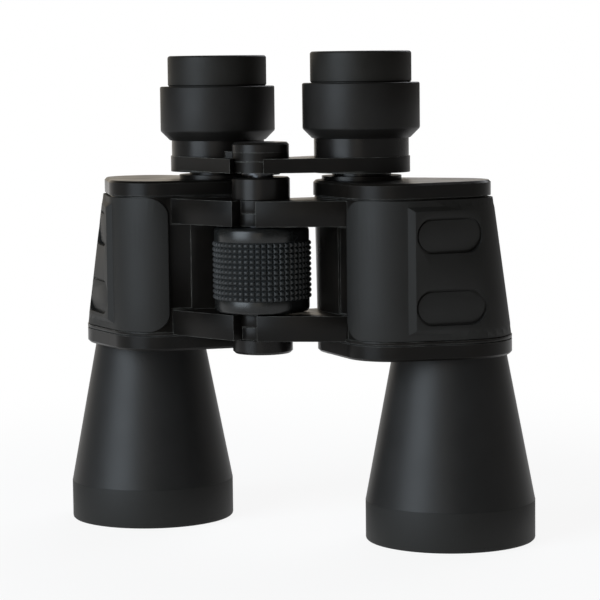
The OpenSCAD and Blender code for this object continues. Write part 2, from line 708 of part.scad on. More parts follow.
// A bar from the post to the ring round the eyepiece
module bridge_bar() difference() {
    union() {
        polygon([bridge_front, tangent_from(bridge_front, eye, bridge_ring_r, -1), eye,
            tangent_from(bridge_rear, eye, bridge_ring_r, 1), bridge_rear]);
        at(eye) circle(bridge_ring_r);
    }
    circle(bridge_knuckle_r + knuckle_gap);
    at(eye) circle(neck_r);
}
// Where a line from point p touches the circle round c, on the side given by s
function tangent_from(p, c, r, s) =
    let (d = norm(c - p), a = heading(c, p), b = acos(r / d))
    c + polar(r, a - s * b);

module right_arm_metal() in_frame() {
    translate([0, 0, bridge_z]) linear_extrude(bridge_h) bridge_bar();
    translate([0, 0, bridge_z]) linear_extrude(bridge_split - lap_gap / 2) difference() {
        union() {
            circle(bridge_knuckle_r);
            knuckle_web();
        }
        circle(post_r + running_gap);
    }
    ring_skirt();
}
// The ring reaches a little below its arm.
module ring_skirt() at(eye, bridge_ring_z) ring(bridge_ring_r, neck_r, bridge_z - bridge_ring_z);
// The part of the arm that joins its knuckle
module knuckle_web() difference() {
    polygon([bridge_front, eye, bridge_rear]);
    at(eye) circle(neck_r);
}

module left_arm_metal() in_frame() mirror([1, 0, 0]) {
    translate([0, 0, bridge_z]) linear_extrude(bridge_h) bridge_bar();
    translate([0, 0, bridge_z + bridge_split + lap_gap / 2])
        linear_extrude(left_knuckle_h - lap_gap / 2) difference() {
            union() {
                circle(bridge_knuckle_r);
                saddle();
            }
            circle(post_r);
        }
    ring_skirt();
}
// The left knuckle sits higher than its arm, so a saddle behind it ties the two together.
saddle_reach = 7;
saddle_gap = 0.6;
module saddle() intersection() {
    difference() {
        knuckle_web();
        at(eye) circle(sleeve_r + saddle_gap);
    }
    circle(bridge_knuckle_r + saddle_reach);
    square(far);
}

module bridge_arm(side) color(metal) {
    if (side == RIGHT) right_arm_metal();
    if (side == LEFT) left_arm_metal();
}

module bridge_cap() color(metal) in_frame() difference() {
    translate([0, 0, knuckle_top]) rotate_extrude() polygon([[0, 0], [bridge_knuckle_r, 0],
        [bridge_knuckle_r, bridge_cap_h - 0.8], [bridge_knuckle_r - 0.8, bridge_cap_h],
        [0, bridge_cap_h]]);
    translate([0, 0, knuckle_top - 1]) cylinder(r = post_r, h = 1 + bridge_cap_h / 2);
}

// --- centre ----------------------------------------------------------------------------------
tube_bottom = lower_arm_z - end_cap_h + 1.4;
key_r = 1.8;
key_z = wheel_z0 + 7;
tube_bore_r = post_r + running_gap;
hub_relief_r = 9.2;

module focus_post() color(steel) in_frame() difference() {
    union() {
        translate([0, 0, wheel_z0]) cylinder(r = post_r, h = knuckle_top + bridge_cap_h / 2 - wheel_z0);
        translate([0, 0, bridge_z - post_flange_h]) cylinder(r = tube_r, h = post_flange_h);
    }
    translate([0, 0, key_z]) rotate([0, 90, 0]) cylinder(r = key_r, h = far, center = true);
}

module drive_key() color(steel) in_frame()
    translate([0, 0, key_z]) rotate([0, 90, 0])
    cylinder(r = key_r, h = 2 * (hub_relief_r - 0.4), center = true);

module hinge_tube() color(steel) in_frame() difference() {
    translate([0, 0, tube_bottom]) cylinder(r = tube_r, h = tube_top - tube_bottom);
    translate([0, 0, tube_bottom + 4]) cylinder(r = tube_bore_r, h = tube_top);
    // slots for the drive key
    slot = key_r + running_gap;
    translate([-far / 2, -slot, key_z - travel_down]) cube([far, 2 * slot, travel_up + travel_down]);
    for (z = [key_z - travel_down, key_z + travel_up])
        translate([0, 0, z]) rotate([0, 90, 0]) cylinder(r = slot, h = far, center = true);
}

collar_z = upper_arm_z + arm_h;
collar_h = tube_top - collar_z;
module hinge_collar() color(metal) in_frame() translate([0, 0, collar_z]) rotate_extrude()
    polygon([[tube_r, 0], [knuckle_r - 0.3, 0], [knuckle_r, 0.3], [knuckle_r, collar_h - 0.6],
        [knuckle_r - 0.6, collar_h], [tube_r, collar_h]]);

module end_cap() color(metal) in_frame() difference() {
    translate([0, 0, lower_arm_z - end_cap_h]) rotate_extrude()
        polygon([[0, 0], [end_cap_r - 0.8, 0], [end_cap_r, 0.8],
            [end_cap_r, end_cap_h - 0.3], [end_cap_r - 0.3, end_cap_h], [0, end_cap_h]]);
    translate([0, 0, tube_bottom]) cylinder(r = tube_r, h = end_cap_h + 2);
}

// A band profile with a quarter-round on its outer corner, from z = 0 inwards to z = h
module band_profile(r, h, fillet) {
    square([r - fillet, h]);
    translate([0, fillet]) square([r, h - fillet]);
    translate([r - fillet, fillet]) circle(fillet);
}

sleeve_bore_r = knurl_r - knurl_depth - sleeve_t;
grip_z0 = wheel_z0 + lower_band_h;
grip_z1 = wheel_z1 - upper_band_h;
module wheel_hub() color(soft_black) in_frame() difference() {
    rotate_extrude() {
        translate([0, wheel_z0]) band_profile(band_r, lower_band_h, band_round);
        translate([0, wheel_z1]) mirror([0, 1]) band_profile(band_r, upper_band_h, band_round);
        translate([0, wheel_z0 + 1]) square([sleeve_bore_r, wheel_z1 - wheel_z0 - 2]);
    }
    translate([0, 0, wheel_z0 - 1]) cylinder(r = tube_r + running_gap, h = wheel_z1);
    translate([0, 0, wheel_z0 + 3]) cylinder(r = hub_relief_r, h = wheel_z1 - wheel_z0 - 6);
}

// Knurled sleeve: rows and columns of four-sided pyramids on a straight bore
module wheel_grip() color(rubber) in_frame() difference() {
    valley_r = knurl_r - knurl_depth;
    pitch = (grip_z1 - grip_z0) / knurl_rows;
    step = 360 / knurl_columns;
    n = knurl_columns;
    valleys = [for (i = [0:knurl_rows], j = [0:n - 1])
        let (p = polar(valley_r, j * step)) [p.x, p.y, grip_z0 + i * pitch]];
    tips = [for (i = [0:knurl_rows - 1], j = [0:n - 1])
        let (p = polar(knurl_r, (j + 0.5) * step)) [p.x, p.y, grip_z0 + (i + 0.5) * pitch]];
    first_tip = len(valleys);
    sides = [for (i = [0:knurl_rows - 1], j = [0:n - 1])
        let (k = (j + 1) % n, a = i * n + j, b = i * n + k, c = a + n, d = b + n,
            t = first_tip + i * n + j)
        each [[b, a, t], [d, b, t], [c, d, t], [a, c, t]]];
    base = [for (j = [0:n - 1]) j];
    lid = [for (j = [n - 1:-1:0]) knurl_rows * n + j];
    polyhedron(concat(valleys, tips), concat(sides, [base, lid]));
    translate([0, 0, grip_z0 - 1]) cylinder(r = sleeve_bore_r, h = grip_z1 - grip_z0 + 2);
}

// --- strap lugs ------------------------------------------------------------------------------
lug_angle = 90;
lug_seat = 5;
// A wire eye whose two legs are set in the rear edge of the top plate
module lug_wire() at(outer + polar(wall_high[2] + top_lip[2], lug_angle),
    top_plate_z + plate_t / 2) rotate(lug_angle) {
        for (s = [-1, 1]) translate([-lug_seat, s * (strap_w + lug_t) / 2, 0]) rotate([0, 90, 0])
            cylinder(r = lug_t / 2, h = lug_seat + strap_gap + lug_t / 2);
        translate([strap_gap + lug_t / 2, 0, 0]) rotate([90, 0, 0])
            cylinder(r = lug_t / 2, h = strap_w + 2 * lug_t, center = true);
    }
module strap_lug(side) color(steel) on_side(side) lug_wire();

// --- nodes -----------------------------------------------------------------------------------
HALF = ["housing", "grip_cover", "top_plate", "bottom_plate", "seals", "plate_screws",
    "objective_barrel", "hood_band", "crown_lens", "flint_lens", "retaining_ring",
    "upper_prism", "lower_prism", "prism_shelf", "prism_clips", "guide_tube",
    "ocular_sleeve", "lens_barrel", "field_lens", "eye_lens", "eyecup", "bridge_arm",
    "strap_lug"];

housing(LEFT);  // left_housing
housing(RIGHT);  // right_housing
grip_cover(LEFT);  // left_grip_cover
grip_cover(RIGHT);  // right_grip_cover
top_plate(LEFT);  // left_top_plate
top_plate(RIGHT);  // right_top_plate
bottom_plate(LEFT);  // left_bottom_plate
bottom_plate(RIGHT);  // right_bottom_plate
seals(LEFT);  // left_seals
seals(RIGHT);  // right_seals
plate_screws(LEFT);  // left_plate_screws
plate_screws(RIGHT);  // right_plate_screws
objective_barrel(LEFT);  // left_objective_barrel
objective_barrel(RIGHT);  // right_objective_barrel
hood_band(LEFT);  // left_hood_band
hood_band(RIGHT);  // right_hood_band
crown_lens(LEFT);  // left_crown_lens
crown_lens(RIGHT);  // right_crown_lens
flint_lens(LEFT);  // left_flint_lens
flint_lens(RIGHT);  // right_flint_lens
retaining_ring(LEFT);  // left_retaining_ring
retaining_ring(RIGHT);  // right_retaining_ring
upper_prism(LEFT);  // left_upper_prism
upper_prism(RIGHT);  // right_upper_prism
lower_prism(LEFT);  // left_lower_prism
lower_prism(RIGHT);  // right_lower_prism
prism_shelf(LEFT);  // left_prism_shelf
prism_shelf(RIGHT);  // right_prism_shelf
prism_clips(LEFT);  // left_prism_clips
prism_clips(RIGHT);  // right_prism_clips
guide_tube(LEFT);  // left_guide_tube
guide_tube(RIGHT);  // right_guide_tube
ocular_sleeve(LEFT);  // left_ocular_sleeve
ocular_sleeve(RIGHT);  // right_ocular_sleeve
lens_barrel(LEFT);  // left_lens_barrel
lens_barrel(RIGHT);  // right_lens_barrel
field_lens(LEFT);  // left_field_lens
field_lens(RIGHT);  // right_field_lens
eye_lens(LEFT);  // left_eye_lens
eye_lens(RIGHT);  // right_eye_lens
eyecup(LEFT);  // left_eyecup
eyecup(RIGHT);  // right_eyecup
bridge_arm(LEFT);  // left_bridge_arm
bridge_arm(RIGHT);  // right_bridge_arm
strap_lug(LEFT);  // left_strap_lug
strap_lug(RIGHT);  // right_strap_lug
eyepiece_ring(LEFT);  // left_grip_ring
eyepiece_ring(RIGHT);  // dioptre_ring
hinge_tube();
hinge_collar();
end_cap();
wheel_hub();
wheel_grip();
focus_post();
drive_key();
bridge_cap();
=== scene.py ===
"""Looks and studio for a 50 mm porro-prism binocular that stands on its objective rims.

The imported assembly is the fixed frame. Each class below is one sub-assembly: it holds its sizes
in millimetres, builds the pieces that need finer shapes than the frame's nodes, and dresses both
with their finishes. Everything is made where it stands, in metres, in the frame's axes: +Z to the
eyepieces, +X to the right half, -Y to the side of the finger recesses.
"""

from __future__ import annotations

import logging
import math
from dataclasses import dataclass
from enum import Enum

import bmesh
import bpy
from mathutils import Matrix, Vector

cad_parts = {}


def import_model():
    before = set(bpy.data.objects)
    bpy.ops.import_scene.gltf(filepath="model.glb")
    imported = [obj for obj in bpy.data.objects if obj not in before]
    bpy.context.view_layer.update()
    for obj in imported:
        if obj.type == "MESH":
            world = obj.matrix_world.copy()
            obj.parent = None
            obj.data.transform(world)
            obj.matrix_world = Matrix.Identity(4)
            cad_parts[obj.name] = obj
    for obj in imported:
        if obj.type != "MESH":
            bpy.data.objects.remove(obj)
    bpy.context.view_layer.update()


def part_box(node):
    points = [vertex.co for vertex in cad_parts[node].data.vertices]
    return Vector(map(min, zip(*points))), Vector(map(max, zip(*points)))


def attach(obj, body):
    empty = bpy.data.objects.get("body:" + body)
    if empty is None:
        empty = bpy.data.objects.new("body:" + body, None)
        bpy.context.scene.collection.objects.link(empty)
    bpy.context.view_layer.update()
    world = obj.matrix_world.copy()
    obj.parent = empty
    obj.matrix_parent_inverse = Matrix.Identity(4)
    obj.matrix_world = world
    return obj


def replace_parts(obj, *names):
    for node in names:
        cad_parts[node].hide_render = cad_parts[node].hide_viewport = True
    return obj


LOG = logging.getLogger("binocular")
MM = 0.001
# Facets round a turned piece, and across the easing of one of its corners.
TURNED_FACETS = 144
EASING_FACETS = 3
# How near, in metres, two vertices are one: where a spin closes, and between a node's triangles.
SPIN_MERGE = 1e-6
NODE_MERGE = 2e-6
# Faces of a node that lie within this angle of each other, in degrees, become one.
FLAT_ANGLE = 0.6
# How much higher the right eyepiece stands than the left one, set by its dioptre ring, in mm.
DIOPTRE_LIFT = 0.9

Socket = bpy.types.NodeSocket
Tree = bpy.types.NodeTree
Axis = tuple[float, float]
Span = tuple[float, float]
Profile = list[tuple[float, float, float]]


class Side(Enum):
    """The two halves, named as their nodes are."""

    LEFT = "left"
    RIGHT = "right"

    @property
    def half(self) -> str:
        """Name of the body that this side's housing and barrel belong to."""
        return f"{self.value}_half"

    def node(self, piece: str) -> str:
        """Name of this side's node, piece or body of a kind."""
        return f"{self.value}_{piece}"


# --- materials ----------------------------------------------------------------------------------


def linear(code: str) -> tuple[float, float, float, float]:
    """Turns an sRGB hex colour into linear light.

    Args:
        code: Six hex digits after a hash, such as "#2a2c2e".

    Returns:
        Red, green, blue and an alpha of 1.
    """
    channels = [int(code[i : i + 2], 16) / 255 for i in (1, 3, 5)]
    return (*(c / 12.92 if c <= 0.04045 else ((c + 0.055) / 1.055) ** 2.4 for c in channels), 1.0)


def add_node(
    tree: Tree, kind: str, inputs: dict[str | int, object] | None = None, **settings: object
) -> bpy.types.Node:
    """Adds one node with its settings and links.

    Args:
        tree: Node tree that the node goes into.
        kind: Name of the node's type.
        inputs: Each input's name or number, with a constant or the output that feeds it.
        **settings: Properties of the node itself.

    Returns:
        The new node.
    """
    node = tree.nodes.new(kind)
    for name, value in settings.items():
        setattr(node, name, value)
    for key, value in (inputs or {}).items():
        if isinstance(value, Socket):
            tree.links.new(value, node.inputs[key])
        else:
            node.inputs[key].default_value = value
    return node


def bare_material(name: str) -> bpy.types.Material:
    """Adds a material with an empty node tree.

    Args:
        name: Name of the material.

    Returns:
        The new material.
    """
    material = bpy.data.materials.new(name)
    material.use_nodes = True
    material.node_tree.nodes.clear()
    return material


@dataclass(frozen=True)
class Finish:
    """A finish of one real material: its colours, gloss, grain and the marks of use.

    The colour drifts between two close shades over patches as wide as drift_mm, and the gloss
    drifts with it. The grain is the surface's own texture, given by the real spacing of its bumps
    and by their height. A turned metal has rings instead, rings_mm apart, and each ring stays alike
    over rings_reach_mm. Within edge_mm of an edge the colour turns to a lighter grey: partly film
    rubbed thin by handling, partly a painted highlight where light catches edges and seams. A span
    holds the two values between which a change takes place, and those of edge_span are cosines of
    the turn at an edge.
    """

    name: str
    slot: str
    colour: str
    worn: str
    roughness: float
    specular: float = 0.5
    metallic: float = 0.0
    grain_mm: float = 0.5
    grain_height_mm: float = 0.02
    grain_strength: float = 0.3
    drift_mm: float = 14.0
    shade_span: Span = (0.36, 0.68)
    gloss_span: Span = (0.3, 0.7)
    gloss_drift: float = 0.06
    rings_mm: float = 0.0
    rings_reach_mm: float = 50.0
    edge_mm: float = 0.0
    # Grey at the edges: rubbed film, and a painted highlight on edges and seams.
    edge_wear_and_highlight_colour: str = "#5a5a58"
    edge_span: Span = (0.98, 0.8)
    edge_patch_mm: float = 4.0
    edge_patch_span: Span = (0.35, 0.65)
    edge_least: float = 0.25

    def build(self) -> bpy.types.Material:
        """Builds the node material, once for all the pieces that share it.

        Returns:
            The material.
        """
        found = bpy.data.materials.get(self.name)
        if found:
            return found
        material = bare_material(self.name)
        tree = material.node_tree
        place = add_node(tree, "ShaderNodeTexCoord").outputs["Object"]
        drift = add_node(
            tree,
            "ShaderNodeTexNoise",
            {"Vector": place, "Scale": 1 / (self.drift_mm * MM), "Detail": 3.0},
        ).outputs[0]
        gloss = add_node(
            tree,
            "ShaderNodeMapRange",
            {
                "Value": drift,
                "From Min": self.gloss_span[0],
                "From Max": self.gloss_span[1],
                "To Min": self.roughness - self.gloss_drift,
                "To Max": self.roughness + self.gloss_drift,
            },
        ).outputs["Result"]
        shader = add_node(
            tree,
            "ShaderNodeBsdfPrincipled",
            {
                "Base Color": self.shade(tree, place, drift),
                "Roughness": gloss,
                "Metallic": self.metallic,
                "Normal": self.bumps(tree, place),
            },
        )
        if not self.metallic:
            shader.inputs["Specular IOR Level"].default_value = self.specular
        add_node(tree, "ShaderNodeOutputMaterial", {"Surface": shader.outputs["BSDF"]})
        return material

    def shade(self, tree: Tree, place: Socket, drift: Socket) -> Socket:
        """Colours the surface in its two shades, and in a lighter grey at its edges: rubbed film
        and a painted highlight.

        Args:
            tree: Node tree that it goes into.
            place: Coordinates, in metres.
            drift: The noise that the shades follow.

        Returns:
            The colour.
        """
        wear = add_node(
            tree,
            "ShaderNodeMapRange",
            {"Value": drift, "From Min": self.shade_span[0], "From Max": self.shade_span[1]},
        ).outputs["Result"]
        colour = add_node(
            tree,
            "ShaderNodeMix",
            {0: wear, 6: linear(self.colour), 7: linear(self.worn)},
            data_type="RGBA",
        ).outputs[2]
        if not self.edge_mm:
            return colour
        # The edge grey is partly rubbed film and partly a painted highlight.
        wear_and_highlight = self.rubbed_edges_and_highlight(tree, place)
        return add_node(
            tree,
            "ShaderNodeMix",
            {0: wear_and_highlight, 6: colour, 7: linear(self.edge_wear_and_highlight_colour)},
            data_type="RGBA",
        ).outputs[2]

    def rubbed_edges_and_highlight(self, tree: Tree, place: Socket) -> Socket:
        """Marks the edges in uneven patches: partly film that handling has rubbed thin, partly a
        painted highlight.

        Args:
            tree: Node tree that it goes into.
            place: Coordinates, in metres.

        Returns:
            How much of the edge grey shows, as rubbed film and painted highlight, from 0 to 1.
        """
        # Convex edges and concave seams both turn grey, so this is a painted highlight as well as
        # wear.
        rounded = add_node(tree, "ShaderNodeBevel", {"Radius": self.edge_mm * MM}, samples=6)
        straight = add_node(tree, "ShaderNodeNewGeometry")
        same = add_node(
            tree,
            "ShaderNodeVectorMath",
            {0: rounded.outputs["Normal"], 1: straight.outputs["Normal"]},
            operation="DOT_PRODUCT",
        ).outputs["Value"]
        edge = add_node(
            tree,
            "ShaderNodeMapRange",
            {"Value": same, "From Min": self.edge_span[0], "From Max": self.edge_span[1]},
        ).outputs["Result"]
        patches = add_node(
            tree,
            "ShaderNodeTexNoise",
            {"Vector": place, "Scale": 1 / (self.edge_patch_mm * MM), "Detail": 2.0},
        ).outputs[0]
        share = add_node(
            tree,
            "ShaderNodeMapRange",
            {
                "Value": patches,
                "From Min": self.edge_patch_span[0],
                "From Max": self.edge_patch_span[1],
                "To Min": self.edge_least,
            },
        ).outputs["Result"]
        wear_and_highlight = add_node(tree, "ShaderNodeMath", {0: edge, 1: share}, operation="MULTIPLY")
        return wear_and_highlight.outputs[0]

    def bumps(self, tree: Tree, place: Socket) -> Socket:
        """Adds the grain, or on a turned surface the rings round its upright axis.

        Args:
            tree: Node tree that it goes into.
            place: Coordinates, in metres.

        Returns:
            The bumped normal.
        """
        grain = {"Vector": place, "Scale": 1 / (self.grain_mm * MM), "Detail": 2.0}
        if self.rings_mm:
            across, along = 1 / (self.rings_reach_mm * MM), 1 / (self.rings_mm * MM)
            rings = add_node(
                tree, "ShaderNodeMapping", {"Vector": place, "Scale": (across, across, along)}
            )
            grain = {"Vector": rings.outputs[0], "Scale": 1.0, "Detail": 1.0}
        height = add_node(tree, "ShaderNodeTexNoise", grain).outputs[0]
        return add_node(
            tree,
            "ShaderNodeBump",
            {
                "Height": height,
                "Strength": self.grain_strength,
                "Distance": self.grain_height_mm * MM,
            },
        ).outputs["Normal"]


@dataclass(frozen=True)
class CoatedGlass:
    """Optical glass with a single anti-reflection layer, which leaves a faint violet reflection.

    A trace of dust dulls its polish, in specks that lie speck_mm apart.
    """

    name: str
    slot: str
    colour: str
    layer_nm: float = 125.0
    layer_ior: float = 1.38
    ior: float = 1.52
    speck_mm: float = 0.5
    speck_span: Span = (0.66, 0.8)
    haze_span: Span = (0.01, 0.04)

    def build(self) -> bpy.types.Material:
        """Builds the glass, once for all the lenses that share it.

        Returns:
            The material.
        """
        found = bpy.data.materials.get(self.name)
        if found:
            return found
        material = bare_material(self.name)
        tree = material.node_tree
        place = add_node(tree, "ShaderNodeTexCoord").outputs["Object"]
        specks = add_node(
            tree,
            "ShaderNodeTexNoise",
            {"Vector": place, "Scale": 1 / (self.speck_mm * MM), "Detail": 2.0},
        ).outputs[0]
        haze = add_node(
            tree,
            "ShaderNodeMapRange",
            {
                "Value": specks,
                "From Min": self.speck_span[0],
                "From Max": self.speck_span[1],
                "To Min": self.haze_span[0],
                "To Max": self.haze_span[1],
            },
        ).outputs["Result"]
        shader = add_node(
            tree,
            "ShaderNodeBsdfPrincipled",
            {
                "Base Color": linear(self.colour),
                "Roughness": haze,
                "IOR": self.ior,
                "Transmission Weight": 1.0,
                "Thin Film Thickness": self.layer_nm,
                "Thin Film IOR": self.layer_ior,
            },
        )
        add_node(tree, "ShaderNodeOutputMaterial", {"Surface": shader.outputs["BSDF"]})
        return material


Coating = Finish | CoatedGlass

# Soft-touch polyurethane paint, sprayed over the aluminium barrel: a matte skin that spreads the
# light into one broad highlight.
SOFT_TOUCH = Finish(
    "soft_touch_paint",
    "soft_black_paint",
    "#161616",
    "#191919",
    0.46,
    specular=0.26,
    gloss_drift=0.02,
    grain_mm=0.55,
    grain_height_mm=0.03,
    grain_strength=0.35,
)
# The same paint on the small grip rings, thinner and drier: a warmer black, less bright.
RING_PAINT = Finish(
    "ring_paint",
    "soft_black_paint",
    "#141312",
    "#181716",
    0.48,
    specular=0.17,
    grain_mm=0.55,
    grain_height_mm=0.03,
    grain_strength=0.35,
)
# Thermoplastic rubber armour, moulded with a fine spark-eroded grain: drier than the paint.
ARMOUR = Finish(
    "armour_rubber",
    "grip_rubber",
    "#121211",
    "#161615",
    0.6,
    specular=0.27,
    gloss_drift=0.03,
    grain_mm=0.7,
    grain_height_mm=0.05,
    grain_strength=0.4,
)
# Silicone-like rubber of the eyecups, moulded smooth and handled until it greys a little.
CUP_RUBBER = Finish(
    "moulded_cup_rubber",
    "eyecup_rubber",
    "#171614",
    "#1b1a18",
    0.5,
    specular=0.17,
    grain_mm=0.6,
    grain_height_mm=0.03,
)
# Satin baked enamel on machined or cast aluminium: a thin film with a trace of orange peel, which
# shows grey metal along the edges that hands have rubbed. The same grey on every edge and seam is
# also a painted highlight.
ENAMEL = Finish(
    "satin_enamel",
    "satin_black_metal",
    "#0c0b0a",
    "#110f0d",
    0.33,
    specular=0.11,
    grain_mm=0.8,
    grain_height_mm=0.03,
    grain_strength=0.4,
    edge_mm=0.35,
    edge_wear_and_highlight_colour="#6e6e6a",
)
# The same enamel on turned parts, smoother and polished by handling: a sharper highlight.
TURNED_ENAMEL = Finish(
    "polished_enamel",
    "satin_black_metal",
    "#0d0c0b",
    "#110f0e",
    0.3,
    specular=0.17,
    grain_mm=0.9,
    grain_height_mm=0.01,
    grain_strength=0.15,
)
# Nitrile rubber, cut from sheet: a dull black line between a housing and its plate.
GASKET = Finish(
    "nitrile_gasket", "seal_rubber", "#131314", "#181818", 0.8, specular=0.3, grain_mm=0.4
)
# ABS of the wheel's end bands, moulded glossy and polished by fingers.
BAND_PLASTIC = Finish(
    "moulded_abs",
    "wheel_plastic",
    "#111212",
    "#151616",
    0.28,
    specular=0.31,
    grain_mm=1.4,
    grain_height_mm=0.01,
    grain_strength=0.15,
)
# Natural rubber of the wheel's sleeve, moulded: blunt teeth that dust and fingers have greyed.
KNURL_RUBBER = Finish(
    "knurled_rubber", "grip_rubber", "#17191a", "#202223", 0.45, specular=0.3
)
# Dark anodised aluminium, turned: fine rings round the axis.
ANODISED = Finish(
    "dark_anodised_aluminium",
    "bare_aluminium",
    "#3a3b3d",
    "#444547",
    0.35,
    metallic=1.0,
    rings_mm=0.25,
    grain_height_mm=0.01,
)
# Blackened steel of the screws and clips, rolled: a dark metal with a soft gleam.
BLACK_STEEL = Finish(
    "blackened_steel",
    "screw_steel",
    "#2e2e30",
    "#3a3a3b",
    0.38,
    metallic=1.0,
    grain_mm=0.6,
    grain_height_mm=0.01,
)
# Ground carbon steel of the focus post and its key, blued and dark under a film of grease.
GROUND_STEEL = Finish(
    "ground_steel",
    "polished_steel",
    "#333436",
    "#3f4042",
    0.3,
    metallic=1.0,
    rings_mm=0.15,
    grain_height_mm=0.006,
)
# Crown and flint glass, ground and polished. The lenses carry a layer of magnesium fluoride and
# look faintly violet; the prisms are bare and a little green.
OBJECTIVE_GLASS = CoatedGlass("coated_crown_glass", "objective_glass", "#e9e6f2")
EYEPIECE_GLASS = CoatedGlass("coated_flint_glass", "eyepiece_glass", "#e4e0f0", layer_nm=118.0)
PRISM_GLASS = CoatedGlass("polished_prism_glass", "prism_glass", "#e4efec", layer_nm=0.0)


# --- making pieces ------------------------------------------------------------------------------


def dress(piece: bpy.types.Object, finish: Coating) -> None:
    """Gives a piece or a node its finish.

    Args:
        piece: Mesh object.
        finish: Its finish.
    """
    piece.data.materials.clear()
    piece.data.materials.append(finish.build())


def dress_nodes(finishes: dict[str, Coating]) -> None:
    """Gives nodes of the frame their finishes, also those that a finer piece stands for.

    Args:
        finishes: Each node's name, with its finish.
    """
    for name, finish in finishes.items():
        dress(bpy.data.objects[name], finish)
        LOG.info("%s: %s", name, finish.name)


def settle(
    name: str, mesh: bmesh.types.BMesh, body: str, finish: Coating, crease: float = 32.0
) -> bpy.types.Object:
    """Turns a finished bmesh into a piece that rides on a body.

    Args:
        name: Name of the new object.
        mesh: The shape, in metres. It is freed.
        body: Body that the piece moves with.
        finish: Its finish.
        crease: Angle in degrees above which an edge stays sharp.

    Returns:
        The new object.
    """
    bmesh.ops.recalc_face_normals(mesh, faces=mesh.faces)
    for face in mesh.faces:
        face.smooth = True
    data = bpy.data.meshes.new(name)
    mesh.to_mesh(data)
    mesh.free()
    data.set_sharp_from_angle(angle=math.radians(crease))
    piece = bpy.data.objects.new(name, data)
    bpy.context.scene.collection.objects.link(piece)
    dress(piece, finish)
    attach(piece, body)
    LOG.info("%s: %s, %d faces, on %s", name, finish.name, len(data.polygons), body)
    return piece


def spin_round(mesh: bmesh.types.BMesh, facets: int) -> None:
    """Spins a mesh's outline a full turn round the Z axis and closes the seam.

    Args:
        mesh: The outline, which becomes the turned shape.
        facets: Facets round the axis.
    """
    bmesh.ops.spin(
        mesh,
        geom=mesh.verts[:] + mesh.edges[:],
        cent=(0, 0, 0),
        axis=(0, 0, 1),
        angle=math.tau,
        steps=facets,
        use_merge=True,
    )
    bmesh.ops.remove_doubles(mesh, verts=mesh.verts, dist=SPIN_MERGE)


def turned(
    name: str, profile: Profile, axis: Axis, body: str, finish: Coating, lift: float = 0.0
) -> bpy.types.Object:
    """Spins a closed profile round an upright axis, with each corner eased by its own radius.

    Args:
        name: Name of the new object.
        profile: Corners in order: radius, height and easing radius, in millimetres.
        axis: Where the axis stands, in metres.
        body: Body that the piece moves with.
        finish: Its finish.
        lift: How much higher than its profile the piece stands, in millimetres.

    Returns:
        The new object.
    """
    mesh = bmesh.new()
    corners = [mesh.verts.new((r * MM, 0, (z + lift) * MM)) for r, z, _ in profile]
    mesh.faces.new(corners)
    for ease in sorted({e for _, _, e in profile if e > 0}):
        bmesh.ops.bevel(
            mesh,
            geom=[corners[i] for i, point in enumerate(profile) if point[2] == ease],
            offset=ease * MM,
            offset_type="OFFSET",
            segments=EASING_FACETS,
            profile=0.5,
            affect="VERTICES",
            material=-1,
        )
    bmesh.ops.delete(mesh, geom=mesh.faces[:], context="FACES_ONLY")
    spin_round(mesh, TURNED_FACETS)
    bmesh.ops.translate(mesh, verts=mesh.verts, vec=(*axis, 0))
    return settle(name, mesh, body, finish)


def eased_copy(
    node: str,
    body: str,
    finish: Coating,
    width: float,
    segments: int = 2,
    corner: float = 35.0,
    flat: bool = False,
) -> None:
    """Copies a node, rounds its sharp edges and stands the copy in for it.

    Args:
        node: Name of the node.
        body: Body that it rides on.
        finish: Its finish.
        width: How far each rounding reaches from its edge, in millimetres.
        segments: Facets across a rounding.
        corner: Angle in degrees above which an edge is rounded.
        flat: Whether the large faces are flat and keep their own normals up to the rounding.
    """
    mesh = bmesh.new()
    mesh.from_mesh(bpy.data.objects[node].data)
    bmesh.ops.remove_doubles(mesh, verts=mesh.verts, dist=NODE_MERGE)
    bmesh.ops.dissolve_limit(
        mesh,
        angle_limit=math.radians(FLAT_ANGLE),
        verts=mesh.verts,
        edges=mesh.edges,
        use_dissolve_boundaries=False,
    )
    least = math.radians(corner)
    bmesh.ops.bevel(
        mesh,
        geom=[e for e in mesh.edges if len(e.link_faces) == 2 and e.calc_face_angle(0) > least],
        offset=width * MM,
        offset_type="OFFSET",
        segments=segments,
        profile=0.5,
        affect="EDGES",
        clamp_overlap=True,
        material=-1,
    )
    piece = settle(f"{node}_eased", mesh, body, finish)
    if flat:
        piece.modifiers.new("even_light", "WEIGHTED_NORMAL").keep_sharp = True
    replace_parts(piece, node)


def axis_of(node: str) -> Axis:
    """Upright axis through the middle of a node's box.

    Args:
        node: Name of a round node.

    Returns:
        The axis's x and y, in metres.
    """
    low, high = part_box(node)
    return ((low.x + high.x) / 2, (low.y + high.y) / 2)


# --- sub-assemblies -----------------------------------------------------------------------------


